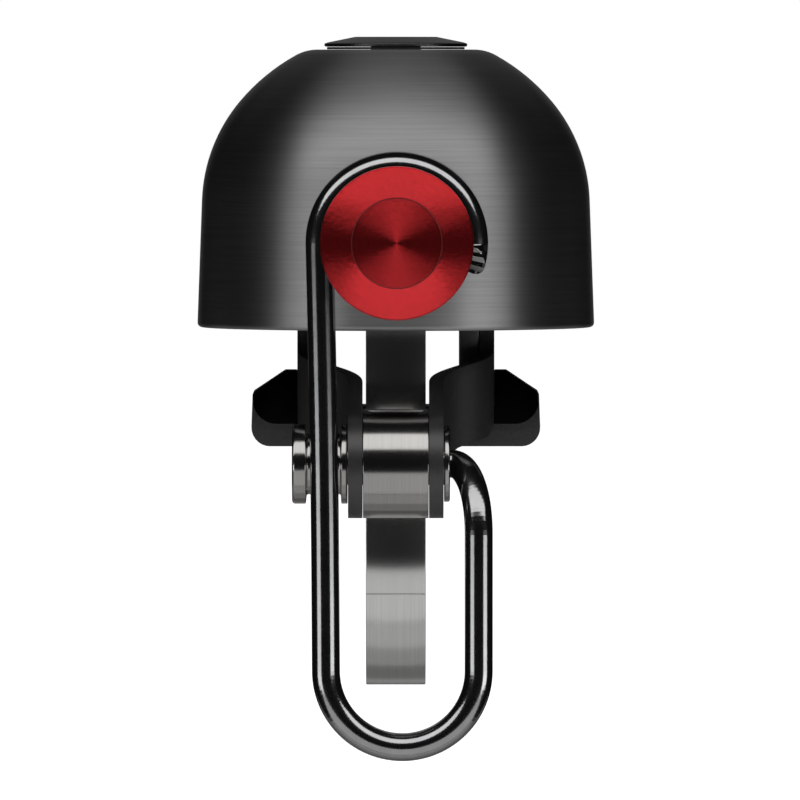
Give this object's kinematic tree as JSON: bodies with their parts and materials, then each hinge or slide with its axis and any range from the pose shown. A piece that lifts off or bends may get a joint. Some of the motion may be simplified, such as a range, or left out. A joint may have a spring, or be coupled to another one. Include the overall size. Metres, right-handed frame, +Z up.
{
  "type": "bicycle bell",
  "caption": "Compact handlebar bell: turned dome on a strap-clamped saddle, with a sprung wire striker that carries a round disc head.",
  "frame": {"origin": "on the handlebar's axis, midway across the clamp strap", "axes": "+X along the handlebar to the right, +Y away from the rider, +Z up through the dome"},
  "size_m": [0.038, 0.0459, 0.0682],
  "materials": {
    "dome_metal": "dark anodised, brushed round the dome",
    "cap_metal": "black satin",
    "plain_steel": "zinc plated",
    "strap_steel": "brushed along the strap",
    "arm_metal": "black satin",
    "barrel_metal": "turned, satin",
    "black_chrome": "black chrome",
    "red_anodised": "red anodised, fine turned",
    "black_nylon": "fine moulded grain",
    "black_rubber": "ribbed"
  },
  "bodies": {
    "mount": {"dome": "dome_metal", "cap_washer": "black_nylon", "dome_bush": "black_nylon", "post_sleeve": "plain_steel", "bracket": "arm_metal", "right_side_plate": "arm_metal", "left_side_plate": "arm_metal", "right_lower_rivet": "plain_steel", "left_lower_rivet": "plain_steel", "right_upper_rivet": "plain_steel", "left_upper_rivet": "plain_steel", "saddle": "black_nylon", "left_saddle_screw": "plain_steel", "right_saddle_screw": "plain_steel", "pivot_barrel": "barrel_metal", "pivot_bolt": "black_chrome", "pivot_bush": "barrel_metal", "return_spring": "plain_steel"},
    "striker": {"striker_wire": "black_chrome", "striker_head": "red_anodised", "striker_tip": "plain_steel"},
    "cap": {"cap_screw": "cap_metal"},
    "strap": {"strap": "strap_steel", "strap_liner": "black_rubber", "tension_bridge": "plain_steel", "tension_nut": "plain_steel"}
  },
  "joints": [
    {"name": "striker_swing", "type": "hinge", "parent": "mount", "child": "striker", "pos_m": [0, -0.01875, 0.00856], "axis": [1, 0, 0], "range_deg": [-2.3, 25], "stiffness_Nm_per_rad": 0.15},
    {"name": "cap_screw_turn", "type": "hinge", "parent": "mount", "child": "cap", "pos_m": [0, 0, 0.048], "axis": [0, 0, 1], "range_deg": [0, 1081]},
    {"name": "strap_travel", "type": "slide", "parent": "mount", "child": "strap", "axis": [0, 0, -1], "range_m": [0, 0.0024]}
  ],
  "couplings": [
    {"joint": "cap_screw_turn", "follows": "strap_travel", "rad_per_m": 7854}
  ]
}
